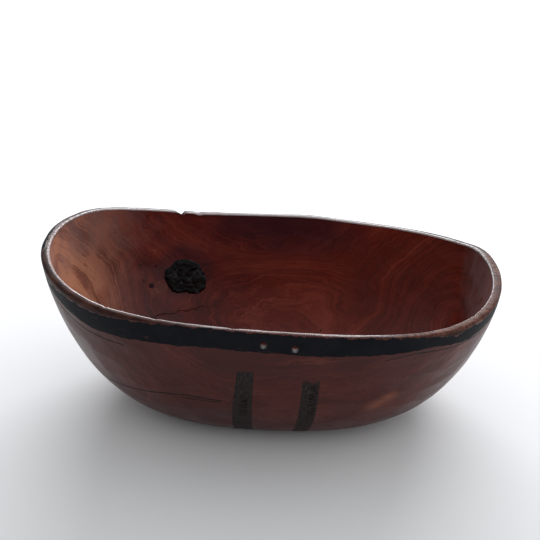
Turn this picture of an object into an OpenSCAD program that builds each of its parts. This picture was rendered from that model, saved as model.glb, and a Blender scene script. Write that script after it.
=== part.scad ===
// Hand-carved wooden bowl: a long boat-shaped trough hollowed from one block, with two cord holes
// under the front rim, a knot hole in the back wall stopped with pitch, and insect borer holes.
// Frame: +Z up, +X along the bowl towards its lower end, -Y the front with the cord holes.
// The origin is under the middle of the rim outline, on the surface that the foot stands on.

/* [Overall size] */
// Length over the two ends
bowl_len = 460; // [380:1:620]
// Width over the two long sides
bowl_wid = 286; // [220:1:380]
// Height of the rim half-way along the sides, before the sheer and the waves
rim_h = 141; // [110:1:190]

/* [Rim line] */
// How much both ends of the rim rise above its middle
rim_sheer = 13; // [0:0.5:25]
// How much the rim rises at the left end and falls at the right end
rim_tilt = 11; // [0:0.5:18]
// How much the rim rises at the front and falls at the back
rim_lean = 1.4; // [0:0.1:4]
// Slow wave of the rim that lifts the left end
rim_wave_end = 1.1; // [0:0.1:4]
// Slow wave of the rim that lifts the front and lowers the back
rim_wave_side = 3.8; // [0:0.1:8]
// Slow wave of the rim that lifts the ends and the middles and lowers the four quarters
rim_wave_quarter = 1.2; // [0:0.1:3]
// Radius of the worn edges of the rim
rim_ease = 1.5; // [0.5:0.1:2.5]

/* [Outline] */
// Squareness of the outline, where 2 is an ellipse
outline_power = 2.22; // [2:0.01:2.6]
// How much squarer the front is than the back
outline_front = 0.16; // [0:0.01:0.3]
// How much squarer the back left and front right are than the other two quarters
outline_twist = 0.09; // [-0.2:0.01:0.2]

/* [Section] */
// Length of the flat foot
foot_len = 170; // [120:1:200]
// Width of the flat foot
foot_wid = 109; // [80:1:140]
// How far the foot sits towards the left end
foot_shift = 4; // [0:0.5:10]
// Fullness of the left end between foot and rim
full_left = 2.6; // [2:0.05:3.4]
// Fullness of the right end
full_right = 3; // [2:0.05:3.4]
// Fullness of the long sides
full_side = 3.1; // [2:0.05:3.4]
// How steeply the wall climbs from the foot to the rim
wall_climb = 1.37; // [1.2:0.01:1.8]

/* [Walls] */
// Thickness of the wall at the two ends
wall_end = 9; // [6:0.1:14]
// Thickness of the wall along the sides
wall_side = 6.5; // [4.5:0.1:10]
// Thickness of the floor over the foot
floor_t = 12; // [8:0.5:18]

/* [Cord holes] */
// Diameter of the two cord holes
cord_hole_d = 6.6; // [4:0.1:9]
// Distance between them along the rim
cord_hole_pitch = 28.6; // [16:0.5:60]
// How far their middle lies to the right of the bowl's middle
cord_hole_x = 20; // [-60:1:60]
// How far below the rim the left one is drilled
cord_hole_drop_left = 12; // [9:0.1:30]
// How far below the rim the right one is drilled
cord_hole_drop_right = 14; // [9:0.1:30]

/* [Knot] */
// Length of the knot hole along the back wall
knot_len = 46; // [30:1:56]
// Height of the knot hole across the wall
knot_wid = 37; // [24:1:46]
// How far its middle lies to the left of the bowl's middle
knot_left = 108; // [80:1:115]
// Height of its middle above the foot
knot_z = 73; // [60:1:90]
// How far the pitch stands proud of the inner wall at its middle
knot_proud = 2.4; // [0.5:0.1:5]

/* [Borer holes] */
// Diameter of the open borer holes
borer_d = 1.8; // [1:0.1:3]
// Depth of a borer hole into the inner wall
borer_depth = 4; // [2:0.1:4.4]
// Diameter of the stopped borer hole beside the knot
stopped_d = 5.4; // [3:0.1:7]
// How far its pitch stands proud of the inner wall
stopped_proud = 0.8; // [0.3:0.1:1.5]

/* [Rim chip] */
// Width of the V-shaped chip in the back rim
chip_w = 9; // [4:0.5:14]
// Depth of the chip
chip_d = 4; // [2:0.1:6]
// How far it lies to the left of the bowl's middle
chip_left = 111; // [40:1:150]

/* [Hidden] */

half_len = bowl_len / 2;
half_wid = bowl_wid / 2;

// Fineness of the carved skin
stations = 88;
outer_rings = 17;
inner_rings = 15;
// The rings close up towards the foot, where the wall turns quickly
ring_crowding = 1.4;
// Fineness of the skin over the knot
patch_steps = 18;
// Halvings that settle a place on the wall to under a thousandth of a millimetre
halvings = 22;
// Step, in degrees, for the slopes that a wall normal is worked out from
slope_step = 0.4;
// Cutters that go through the wall run this far each way
past = wall_end + wall_side;
// Sides of a drilled hole
hole_sides = 32;

// Borer holes in the inner wall beside the knot, each as [distance past the knot's left edge,
// height above the knot's middle]
knot_borers = [[23, 20.5], [7.5, 15], [19, 3.5]];
stopped_borer = [11, -4];
// A lone borer hole low in the back wall, as [distance to the right, height]
lone_borer = [49.5, 21];

function power(c, n) = sign(c) * pow(abs(c), 2 / n);
function squareness(t) =
    outline_power - outline_front * sin(t) - outline_twist * sin(2 * t);
function end_share(t) = power(cos(t), squareness(t));
function rim_z(t) =
    rim_h + rim_sheer * pow(end_share(t), 2) - rim_tilt * end_share(t) - rim_lean * sin(t)
    - rim_wave_end * cos(3 * t) + rim_wave_side * sin(3 * t) + rim_wave_quarter * cos(4 * t);

// Fullness and foot share at a direction: the two ends and the sides blend into each other
function leftness(t) = pow(max(-cos(t), 0), 2);
function rightness(t) = pow(max(cos(t), 0), 2);
function fullness(t) =
    full_left * leftness(t) + full_right * rightness(t)
    + full_side * (1 - leftness(t) - rightness(t));
function foot_share(t) =
    foot_len / bowl_len * pow(cos(t), 2) + foot_wid / bowl_wid * pow(sin(t), 2);

// A point on the outer (inside = 0) or inner (inside = 1) skin, where g runs from 0 at the foot
// to 90 at the rim
function skin(t, g, inside) =
    let (
        n = squareness(t),
        floor_z = inside * floor_t,
        reach = foot_share(t) + (1 - foot_share(t)) * pow(sin(g), 2 / fullness(t)),
        climb = 1 - pow(cos(g), 2 / wall_climb)
    )
    [
        -foot_shift * (1 - climb) + (half_len - inside * wall_end) * power(cos(t), n) * reach,
        (half_wid - inside * wall_side) * power(sin(t), n) * reach,
        floor_z + (rim_z(t) - floor_z) * climb
    ];

// The g at which a skin reaches height z in direction t
function g_at(t, z, inside) =
    let (floor_z = inside * floor_t)
    acos(pow(1 - (z - floor_z) / (rim_z(t) - floor_z), wall_climb / 2));

// The direction in which the skin at height z (or at a drop below the rim) lies at a given x.
// On the front half t rises with x and on the back half it falls, so turn is 1 or -1.
function level(t, z, drop) = drop > 0 ? rim_z(t) - drop : z;
function direction_at(x, z, drop, inside, lo, hi, turn, left = halvings) =
    let (mid = (lo + hi) / 2)
    left == 0 ? mid
    : (skin(mid, g_at(mid, level(mid, z, drop), inside), inside)[0] - x) * turn > 0
    ? direction_at(x, z, drop, inside, lo, mid, turn, left - 1)
    : direction_at(x, z, drop, inside, mid, hi, turn, left - 1);
function front_direction(x, drop) = direction_at(x, 0, drop, 0, 200, 340, 1);
function back_direction(x, z, inside) = direction_at(x, z, 0, inside, 25, 160, -1);

function unit(v) = v / norm(v);
function outward(t, g, inside) =
    unit(cross(skin(t + slope_step, g, inside) - skin(t - slope_step, g, inside),
               skin(t, g + slope_step, inside) - skin(t, g - slope_step, inside)));

// Turns its children's +Z to the direction v, keeping their +X level, and moves them to p
module facing(p, v) {
    translate(p)
        rotate([0, acos(v[2] / norm(v)), atan2(v[1], v[0])])
            rotate(90)
                children();
}

// The skin of the bowl as closed rings: up the outside, over the eased rim, down the inside
function skin_ring(g_top, g_share, inside) =
    [for (i = [0 : stations - 1])
        let (t = 360 * i / stations)
        skin(t, g_top(t) * pow(g_share, ring_crowding), inside)];
function rim_point(t, across, drop) =
    let (o = skin(t, 90, 0), i = skin(t, 90, 1))
    o + (i - o) * across / norm(i - o) - [0, 0, drop];
function rim_ring(from_outside, edge) =
    [for (i = [0 : stations - 1])
        let (
            t = 360 * i / stations,
            thick = norm(skin(t, 90, 1) - skin(t, 90, 0)),
            in_from_edge = rim_ease * (edge ? 1 : 1 - sqrt(0.5)),
            across = from_outside ? in_from_edge : thick - in_from_edge
        )
        rim_point(t, across, edge ? 0 : rim_ease * (1 - sqrt(0.5)))];

outer_top = function (t) g_at(t, rim_z(t) - rim_ease, 0);
inner_top = function (t) g_at(t, rim_z(t) - rim_ease, 1);
rings = concat(
    [for (k = [0 : outer_rings]) skin_ring(outer_top, k / outer_rings, 0)],
    [rim_ring(true, false), rim_ring(true, true), rim_ring(false, true), rim_ring(false, false)],
    [for (k = [inner_rings : -1 : 0]) skin_ring(inner_top, k / inner_rings, 1)]
);

// Triangles between ring k and ring k + 1, both with n points
function band(k, n) =
    [for (i = [0 : n - 1]) each
        let (a = k * n + i, b = k * n + (i + 1) % n)
        [[a, a + n, b], [b, a + n, b + n]]];

module carved_shell() {
    count = len(rings);
    foot = [for (i = [0 : stations - 1]) i];
    floor_edge = [for (i = [stations - 1 : -1 : 0]) (count - 1) * stations + i];
    polyhedron(
        points = [for (r = rings) each r],
        faces = concat(
            [foot],
            [for (k = [0 : count - 2]) each band(k, stations)],
            [floor_edge]
        )
    );
}

module bowl_body() {
    color([0.30, 0.14, 0.10])
        difference() {
            carved_shell();
            cord_hole(-cord_hole_pitch / 2, cord_hole_drop_left);
            cord_hole(cord_hole_pitch / 2, cord_hole_drop_right);
            knot_hole();
            for (b = knot_borers)
                on_inner_wall(beside_knot(b))
                    borer_hole(borer_d);
            on_inner_wall(beside_knot(stopped_borer))
                borer_hole(stopped_d);
            on_inner_wall(lone_borer)
                borer_hole(borer_d);
            rim_chip();
        }
}

// A cord hole drilled square to the front wall
module cord_hole(along, drop) {
    t = front_direction(cord_hole_x + along, drop);
    g = g_at(t, rim_z(t) - drop, 0);
    facing(skin(t, g, 0), outward(t, g, 0))
        cylinder(d = cord_hole_d, h = 2 * past, center = true, $fn = hole_sides);
}

// The knot hole runs square through the back wall at the middle of the knot
knot_t = back_direction(-knot_left, knot_z, 1);
knot_g = g_at(knot_t, knot_z, 1);
knot_at = skin(knot_t, knot_g, 1);
knot_axis = outward(knot_t, knot_g, 1);

// Lobed outline of a knot, about one unit across each half
function knot_radius(a) = 0.93 + 0.07 * cos(3 * a + 20) + 0.05 * cos(5 * a - 40) - 0.04 * cos(2 * a);
module knot_hole() {
    facing(knot_at, knot_axis)
        linear_extrude(2 * past, center = true)
            polygon([for (a = [0 : 15 : 345])
                knot_radius(a) * [knot_len / 2 * cos(a), knot_wid / 2 * sin(a)]]);
}

// Puts its children square on the inner back wall at [distance along X, height], +Z into the wood
module on_inner_wall(at) {
    t = back_direction(at[0], at[1], 1);
    g = g_at(t, at[1], 1);
    facing(skin(t, g, 1), outward(t, g, 1))
        children();
}
function beside_knot(b) = [-knot_left - knot_len / 2 - b[0], knot_z + b[1]];

module borer_hole(d) {
    translate([0, 0, -borer_depth])
        cylinder(d = d, h = 2 * borer_depth, $fn = hole_sides);
}

// A knife slip in the back rim: a shallow V across the wall
module rim_chip() {
    t = back_direction(-chip_left, rim_h - chip_d, 1);
    p = skin(t, 90, 0);
    way = outward(t, 88, 0);
    translate([p[0], p[1], rim_z(t)])
        rotate(atan2(way[1], way[0]) - 90)
            rotate([90, 0, 0])
                linear_extrude(2 * past, center = true)
                    polygon([[-chip_w / 2, 1], [-chip_w / 10, -chip_d], [chip_w / 2, 1]]);
}

// The pitch in the knot hole: flush with the outer skin, lumpy and proud inside
module knot_plug() {
    color([0.05, 0.05, 0.05])
        intersection() {
            pitch_layer();
            knot_hole();
        }
}

// Place of a point in the knot's own frame: level along the wall, then up the wall
knot_along = unit(cross([0, 0, 1], knot_axis));
knot_up = cross(knot_axis, knot_along);
function in_knot(p) =
    [(p - knot_at) * knot_along / (knot_len / 2), (p - knot_at) * knot_up / (knot_wid / 2)];
function pitch_height(q) =
    knot_proud * max(0.1, 0.72 - 0.42 * (q * q) + 0.28 * cos(230 * q[0] + 40) * cos(200 * q[1] - 30));

// Degrees of t and of g that reach well past the edge of the knot
patch_reach = 1.7;
function per_degree(dt, dg) =
    norm(skin(knot_t + dt, knot_g + dg, 1) - skin(knot_t - dt, knot_g - dg, 1)) / (2 * (dt + dg));
span_t = patch_reach * knot_len / 2 / per_degree(1, 0);
span_g = patch_reach * knot_wid / 2 / per_degree(0, 1);

// The wall over the knot as a closed slab, from the lumpy pitch face to the outer skin
module pitch_layer() {
    side = patch_steps + 1;
    ts = [for (i = [0 : patch_steps]) knot_t + span_t * (2 * i / patch_steps - 1)];
    gs = [for (j = [0 : patch_steps]) knot_g + span_g * (2 * j / patch_steps - 1)];
    inner = [for (g = gs) each [for (t = ts)
        let (p = skin(t, g, 1))
        p - knot_axis * pitch_height(in_knot(p))]];
    outer = [for (g = gs) each [for (t = ts) skin(t, g, 0)]];
    back = len(inner);
    function cell(i, j, flip) =
        let (a = j * side + i + (flip ? back : 0), b = a + 1, c = a + side, d = c + 1)
        flip ? [[a, c, b], [b, c, d]] : [[a, b, c], [b, d, c]];
    edge = concat(
        [for (i = [0 : patch_steps - 1]) i],
        [for (j = [0 : patch_steps - 1]) j * side + patch_steps],
        [for (i = [patch_steps : -1 : 1]) patch_steps * side + i],
        [for (j = [patch_steps : -1 : 1]) j * side]
    );
    polyhedron(
        points = concat(inner, outer),
        faces = concat(
            [for (j = [0 : patch_steps - 1], i = [0 : patch_steps - 1]) each cell(i, j, false)],
            [for (j = [0 : patch_steps - 1], i = [0 : patch_steps - 1]) each cell(i, j, true)],
            [for (k = [0 : len(edge) - 1]) each
                let (a = edge[k], b = edge[(k + 1) % len(edge)])
                [[a, a + back, b], [b, a + back, b + back]]]
        )
    );
}

// The dab of pitch in the largest borer hole: a plug with a domed head
module borer_plug() {
    r = stopped_d / 2;
    color([0.09, 0.05, 0.08])
        on_inner_wall(beside_knot(stopped_borer))
            rotate_extrude($fn = hole_sides)
                polygon(concat(
                    [[0, borer_depth], [r, borer_depth]],
                    [for (a = [0 : 15 : 75]) [r * cos(a), -stopped_proud * sin(a)]],
                    [[0, -stopped_proud]]
                ));
}

bowl_body();
knot_plug();
borer_plug();
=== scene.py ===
"""A hand-carved wooden bowl with a burnt rim band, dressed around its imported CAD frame.

The bowl is a long trough cut from one block of red wood. Its skin repeats the form of the CAD part,
its knot hole and largest borer hole are stopped with pitch, and everything is in metres with +Z up.
"""

from __future__ import annotations

import logging
import math
from collections.abc import Callable
from dataclasses import dataclass, field
from enum import Enum
from typing import NamedTuple

import bmesh
import bpy
import numpy as np
from mathutils import Matrix, Vector, noise

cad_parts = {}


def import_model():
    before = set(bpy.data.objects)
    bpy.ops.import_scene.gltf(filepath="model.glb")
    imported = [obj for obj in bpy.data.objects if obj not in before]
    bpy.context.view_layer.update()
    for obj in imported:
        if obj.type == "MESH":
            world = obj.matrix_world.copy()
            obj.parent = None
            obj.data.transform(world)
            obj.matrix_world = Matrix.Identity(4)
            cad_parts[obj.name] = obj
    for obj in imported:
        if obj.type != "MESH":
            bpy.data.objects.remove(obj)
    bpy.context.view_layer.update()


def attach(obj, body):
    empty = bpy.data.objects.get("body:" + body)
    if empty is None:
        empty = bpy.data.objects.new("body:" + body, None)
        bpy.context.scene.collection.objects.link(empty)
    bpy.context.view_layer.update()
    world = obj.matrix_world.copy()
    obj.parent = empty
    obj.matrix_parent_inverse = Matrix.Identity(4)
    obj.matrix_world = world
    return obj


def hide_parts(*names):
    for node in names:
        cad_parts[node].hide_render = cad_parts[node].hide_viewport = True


LOG = logging.getLogger("bowl")
MM = 0.001

Colour = tuple[float, float, float]


# ------------------------------------------------------------------ shader bench


class Amount:
    """A number that varies over a surface; arithmetic on it adds Math nodes."""

    def __init__(self, bench: Bench, socket: bpy.types.NodeSocket) -> None:
        """Keeps the bench that makes nodes and the socket that carries the number."""
        self.bench = bench
        self.socket = socket

    def _math(self, operation: str, first: object, second: object) -> Amount:
        """Adds one Math node.

        Args:
            operation: Name of the Math node's operation.
            first: First number, an Amount or a plain number.
            second: Second number, an Amount or a plain number.

        Returns:
            The node's result.
        """
        made = self.bench.node("ShaderNodeMath", {"operation": operation}, {0: first, 1: second})
        return Amount(self.bench, made.outputs[0])

    def __add__(self, other: object) -> Amount:
        """Returns the sum."""
        return self._math("ADD", self, other)

    __radd__ = __add__

    def __sub__(self, other: object) -> Amount:
        """Returns this less the other."""
        return self._math("SUBTRACT", self, other)

    def __rsub__(self, other: object) -> Amount:
        """Returns the other less this."""
        return self._math("SUBTRACT", other, self)

    def __mul__(self, other: object) -> Amount:
        """Returns the product."""
        return self._math("MULTIPLY", self, other)

    __rmul__ = __mul__

    def __truediv__(self, other: object) -> Amount:
        """Returns this divided by the other."""
        return self._math("DIVIDE", self, other)

    def __pow__(self, other: object) -> Amount:
        """Returns this to the power of the other."""
        return self._math("POWER", self, other)

    def __abs__(self) -> Amount:
        """Returns the size of this without its sign."""
        return self._math("ABSOLUTE", self, 0.0)

    def least(self, other: object) -> Amount:
        """Returns the smaller of the two."""
        return self._math("MINIMUM", self, other)

    def most(self, other: object) -> Amount:
        """Returns the larger of the two."""
        return self._math("MAXIMUM", self, other)

    def rise(self, low: float, high: float) -> Amount:
        """Eases from 0 to 1.

        Args:
            low: Where the result is 0.
            high: Where the result is 1; it may be below low for a fall.

        Returns:
            The eased number.
        """
        made = self.bench.node(
            "ShaderNodeMapRange",
            {"interpolation_type": "SMOOTHSTEP", "clamp": True},
            {"Value": self, "From Min": low, "From Max": high},
        )
        return Amount(self.bench, made.outputs[0])


class Bench:
    """Makes the nodes of one material or world."""

    def __init__(self, tree: bpy.types.NodeTree) -> None:
        """Empties the tree that the nodes are made in."""
        self.tree = tree
        tree.nodes.clear()

    def node(
        self, kind: str, settings: dict[str, object] | None = None, inputs: dict | None = None
    ) -> bpy.types.Node:
        """Adds one node.

        Args:
            kind: Blender's name for the node.
            settings: Its settings, set before its sockets. "stops" fills a colour ramp.
            inputs: Values or links, by socket name or number.

        Returns:
            The new node.
        """
        made = self.tree.nodes.new(kind)
        for name, value in (settings or {}).items():
            if name == "stops":
                ramp = made.color_ramp
                while len(ramp.elements) < len(value):
                    ramp.elements.new(0.5)
                for element, (place, colour) in zip(ramp.elements, value):
                    element.position = place
                    element.color = (*colour, 1.0)
            else:
                setattr(made, name, value)
        for key, value in (inputs or {}).items():
            socket = made.inputs[key]
            if isinstance(value, Amount):
                self.tree.links.new(value.socket, socket)
            elif isinstance(value, bpy.types.NodeSocket):
                self.tree.links.new(value, socket)
            elif isinstance(value, tuple) and len(value) == 3 and socket.type == "RGBA":
                socket.default_value = (*value, 1.0)
            else:
                socket.default_value = value
        return made

    def place(self) -> bpy.types.NodeSocket:
        """Returns the Object coordinates."""
        return self.node("ShaderNodeTexCoord").outputs["Object"]

    def parts(self, vector: bpy.types.NodeSocket) -> tuple[Amount, Amount, Amount]:
        """Returns the three numbers of a vector."""
        made = self.node("ShaderNodeSeparateXYZ", None, {0: vector})
        return tuple(Amount(self, out) for out in made.outputs)

    def vector(self, x: object, y: object, z: object) -> bpy.types.NodeSocket:
        """Returns a vector made of three numbers."""
        return self.node("ShaderNodeCombineXYZ", None, {0: x, 1: y, 2: z}).outputs[0]

    def attribute(self, name: str) -> tuple[Amount, Amount, Amount]:
        """Returns the three numbers of one of the piece's own attributes."""
        made = self.node("ShaderNodeAttribute", {"attribute_name": name})
        return self.parts(made.outputs["Vector"])

    def stretched(self, vector: object, scale: tuple[float, float, float]) -> bpy.types.NodeSocket:
        """Returns a vector multiplied along each axis."""
        made = self.node("ShaderNodeVectorMath", {"operation": "MULTIPLY"}, {0: vector, 1: scale})
        return made.outputs[0]

    def noise(
        self, vector: object, scale: float, detail: float = 2.0, rough: float = 0.5, warp: float = 0.0
    ) -> Amount:
        """Adds smooth noise.

        Args:
            vector: Where it is read.
            scale: Features to the unit of the vector.
            detail: Finer layers on top of the first.
            rough: How strong the finer layers are.
            warp: How much it is bent by itself.

        Returns:
            The noise, mostly between 0.25 and 0.75.
        """
        made = self.node(
            "ShaderNodeTexNoise",
            {"noise_dimensions": "3D"},
            {"Vector": vector, "Scale": scale, "Detail": detail, "Roughness": rough, "Distortion": warp},
        )
        return Amount(self, made.outputs[0])

    def drawn(
        self,
        vector: object,
        scale: tuple[float, float, float],
        detail: float = 3.0,
        rough: float = 0.6,
        warp: float = 0.0,
    ) -> Amount:
        """Returns noise drawn out along the axes with the smaller scales."""
        return self.noise(self.stretched(vector, scale), 1.0, detail, rough, warp)

    def noise_at(
        self, x: Amount, y: object, z: object, detail: float = 2.0, rough: float = 0.6
    ) -> Amount:
        """Returns noise read at three numbers."""
        return self.noise(self.vector(x, y, z), 1.0, detail, rough)

    def oval(
        self, u: Amount, v: Amount, middle: tuple[float, float], size: tuple[float, float]
    ) -> Amount:
        """Measures how far out of an oval a place is.

        Args:
            u: First coordinate.
            v: Second coordinate.
            middle: The oval's middle.
            size: Its half length and half width.

        Returns:
            0 in the middle and 1 on the oval, growing with the square of the distance.
        """
        across, up = (u - middle[0]) / size[0], (v - middle[1]) / size[1]
        return across * across + up * up

    def surface(
        self, colour: object, rough: object, gleam: float, normal: object = None
    ) -> bpy.types.NodeSocket:
        """Adds a shader.

        Args:
            colour: Base colour.
            rough: Roughness.
            gleam: Strength of its reflections.
            normal: Bent normal, if it has one.

        Returns:
            The shader.
        """
        inputs = {"Base Color": colour, "Roughness": rough, "Specular IOR Level": gleam}
        if normal is not None:
            inputs["Normal"] = normal
        return self.node("ShaderNodeBsdfPrincipled", None, inputs).outputs[0]

    def put_out(self, shader: bpy.types.NodeSocket) -> None:
        """Makes a shader the material's surface."""
        self.node("ShaderNodeOutputMaterial", None, {"Surface": shader})

    def cells(self, vector: object, scale: float, feature: str = "F1") -> Amount:
        """Returns the distance to the nearest of many scattered points."""
        made = self.node(
            "ShaderNodeTexVoronoi", {"feature": feature}, {"Vector": vector, "Scale": scale}
        )
        return Amount(self, made.outputs["Distance"])

    def blend(self, share: object, low: object, high: object, way: str = "MIX") -> bpy.types.NodeSocket:
        """Mixes two colours.

        Args:
            share: How much of high is used.
            low: Colour at share 0.
            high: Colour at share 1.
            way: The Mix node's blend type.

        Returns:
            The mixed colour.
        """
        made = self.node(
            "ShaderNodeMix", {"data_type": "RGBA", "blend_type": way}, {0: share, 6: low, 7: high}
        )
        return made.outputs[2]

    def ramp(self, share: Amount, stops: list[tuple[float, Colour]]) -> bpy.types.NodeSocket:
        """Returns the colour of a ramp at a number."""
        made = self.node("ShaderNodeValToRGB", {"stops": stops}, {0: share})
        return made.outputs[0]

    def bump(self, height: Amount, depth: float, under: object = None) -> bpy.types.NodeSocket:
        """Turns a height into a normal.

        Args:
            height: Height, from 0 to 1.
            depth: Metres between heights 0 and 1.
            under: Normal that this one lies on.

        Returns:
            The bent normal.
        """
        inputs = {"Height": height, "Distance": depth, "Strength": 1.0}
        if under is not None:
            inputs["Normal"] = under
        return self.node("ShaderNodeBump", None, inputs).outputs[0]


def new_material(name: str) -> tuple[bpy.types.Material, Bench]:
    """Returns a fresh material and the bench for its nodes."""
    material = bpy.data.materials.new(name)
    material.use_nodes = True
    return material, Bench(material.node_tree)


# ------------------------------------------------------------------ form of the bowl


class Skin(Enum):
    """The two skins of the hollowed block."""

    OUTER = 0
    INNER = 1


def power(c: np.ndarray, n: np.ndarray) -> np.ndarray:
    """Returns a cosine or sine raised so that the outline is squarer than an ellipse."""
    return np.sign(c) * np.abs(c) ** (2 / n)


@dataclass(frozen=True)
class BowlForm:
    """The carved form, in metres; directions are radians from +X, towards +Y."""

    length: float = 0.460
    width: float = 0.286
    rim_height: float = 0.141
    rim_sheer: float = 0.013
    rim_tilt: float = 0.011
    rim_lean: float = 0.0014
    wave_end: float = 0.0011
    wave_side: float = 0.0038
    wave_quarter: float = 0.0012
    outline_power: float = 2.22
    outline_front: float = 0.16
    outline_twist: float = 0.09
    foot_length: float = 0.170
    foot_width: float = 0.109
    foot_shift: float = 0.004
    full_left: float = 2.6
    full_right: float = 3.0
    full_side: float = 3.1
    wall_climb: float = 1.37
    wall_end: float = 0.009
    wall_side: float = 0.0065
    floor_thickness: float = 0.012

    def squareness(self, t: np.ndarray) -> np.ndarray:
        """Returns the power of the outline in each direction."""
        return self.outline_power - self.outline_front * np.sin(t) - self.outline_twist * np.sin(2 * t)

    def rim_z(self, t: np.ndarray) -> np.ndarray:
        """Returns the height of the rim in each direction."""
        end = power(np.cos(t), self.squareness(t))
        return (
            self.rim_height
            + self.rim_sheer * end**2
            - self.rim_tilt * end
            - self.rim_lean * np.sin(t)
            - self.wave_end * np.cos(3 * t)
            + self.wave_side * np.sin(3 * t)
            + self.wave_quarter * np.cos(4 * t)
        )

    def skin(self, t: np.ndarray, g: np.ndarray, side: Skin) -> np.ndarray:
        """Gives points on a skin.

        Args:
            t: Directions.
            g: How far up the wall, from 0 at the foot to a quarter turn at the rim.
            side: Which skin.

        Returns:
            The points, with x, y and z on the last axis.
        """
        inside = side.value
        n = self.squareness(t)
        left = np.maximum(-np.cos(t), 0) ** 2
        right = np.maximum(np.cos(t), 0) ** 2
        full = self.full_left * left + self.full_right * right + self.full_side * (1 - left - right)
        foot = (
            self.foot_length / self.length * np.cos(t) ** 2 + self.foot_width / self.width * np.sin(t) ** 2
        )
        reach = foot + (1 - foot) * np.maximum(np.sin(g), 0) ** (2 / full)
        climb = 1 - np.maximum(np.cos(g), 0) ** (2 / self.wall_climb)
        low = inside * self.floor_thickness
        return np.stack(
            [
                -self.foot_shift * (1 - climb)
                + (self.length / 2 - inside * self.wall_end) * power(np.cos(t), n) * reach,
                (self.width / 2 - inside * self.wall_side) * power(np.sin(t), n) * reach,
                low + (self.rim_z(t) - low) * climb,
            ],
            axis=-1,
        )

    def g_at(self, t: np.ndarray, z: np.ndarray, side: Skin) -> np.ndarray:
        """Returns how far up the wall a skin reaches height z in direction t."""
        low = side.value * self.floor_thickness
        share = np.clip(1 - (z - low) / (self.rim_z(t) - low), 0, 1)
        return np.arccos(share ** (self.wall_climb / 2))

    def on_wall(
        self, x: float, z: float, side: Skin, front: bool, drop: float = 0.0
    ) -> tuple[Vector, Vector]:
        """Finds a place on a wall.

        Args:
            x: Its place along the bowl.
            z: Its height, used when drop is 0.
            side: Which skin.
            front: Whether it is on the front wall.
            drop: Its depth below the rim, instead of its height.

        Returns:
            The point and the direction out of the bowl there.
        """
        t = np.radians(np.linspace(200, 340, 4001) if front else np.linspace(160, 20, 4001))
        level = self.rim_z(t) - drop if drop else np.full_like(t, z)
        line = self.skin(t, self.g_at(t, level, side), side)
        at = int(np.argmin(np.abs(line[:, 0] - x)))
        here, g = t[at], self.g_at(t[at : at + 1], level[at : at + 1], side)[0]
        step = math.radians(0.4)
        probe = self.skin(
            np.array([here + step, here - step, here, here]), np.array([g, g, g + step, g - step]), side
        )
        way = np.cross(probe[0] - probe[1], probe[2] - probe[3])
        return Vector(line[at]), Vector(way).normalized()


# ------------------------------------------------------------------ small modelling helpers


def deselect_all() -> None:
    """Leaves nothing selected, in object mode."""
    if bpy.context.object and bpy.context.object.mode != "OBJECT":
        bpy.ops.object.mode_set(mode="OBJECT")
    bpy.ops.object.select_all(action="DESELECT")


def added(operator: Callable, **sizes: object) -> bpy.types.Object:
    """Adds a primitive with nothing else selected and returns it."""
    deselect_all()
    operator(**sizes)
    return bpy.context.object


def paint(piece: bpy.types.Object, material: bpy.types.Material) -> None:
    """Makes a material the only one of a piece."""
    piece.data.materials.clear()
    piece.data.materials.append(material)


def facing(at: Vector, way: Vector) -> Matrix:
    """Returns the turn and move that take +Z to a direction, keep +X level and go to a place."""
    along = Vector((0, 0, 1)).cross(way).normalized()
    up = way.cross(along)
    turn = Matrix((along, up, way)).transposed().to_4x4()
    return Matrix.Translation(at) @ turn


def settle(piece: bpy.types.Object, place: Matrix) -> None:
    """Moves a piece's mesh to its place and leaves its object at the origin."""
    piece.data.transform(place @ piece.matrix_basis)
    piece.matrix_basis = Matrix.Identity(4)
    piece.data.update()


def recalculate_outwards(piece: bpy.types.Object) -> None:
    """Turns every face of a closed piece outwards."""
    deselect_all()
    bpy.context.view_layer.objects.active = piece
    piece.select_set(True)
    bpy.ops.object.mode_set(mode="EDIT")
    bpy.ops.mesh.select_all(action="SELECT")
    bpy.ops.mesh.normals_make_consistent(inside=False)
    bpy.ops.object.mode_set(mode="OBJECT")


def finish_off(piece: bpy.types.Object, name: str, degrees: float) -> bpy.types.Object:
    """Names a piece, shades it smooth but for edges sharper than an angle, and returns it."""
    piece.name = name
    piece.data.name = name
    deselect_all()
    bpy.context.view_layer.objects.active = piece
    piece.select_set(True)
    bpy.ops.object.shade_smooth_by_angle(angle=math.radians(degrees))
    return piece


# ------------------------------------------------------------------ marks on the wall

NOWHERE = 99.0


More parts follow.
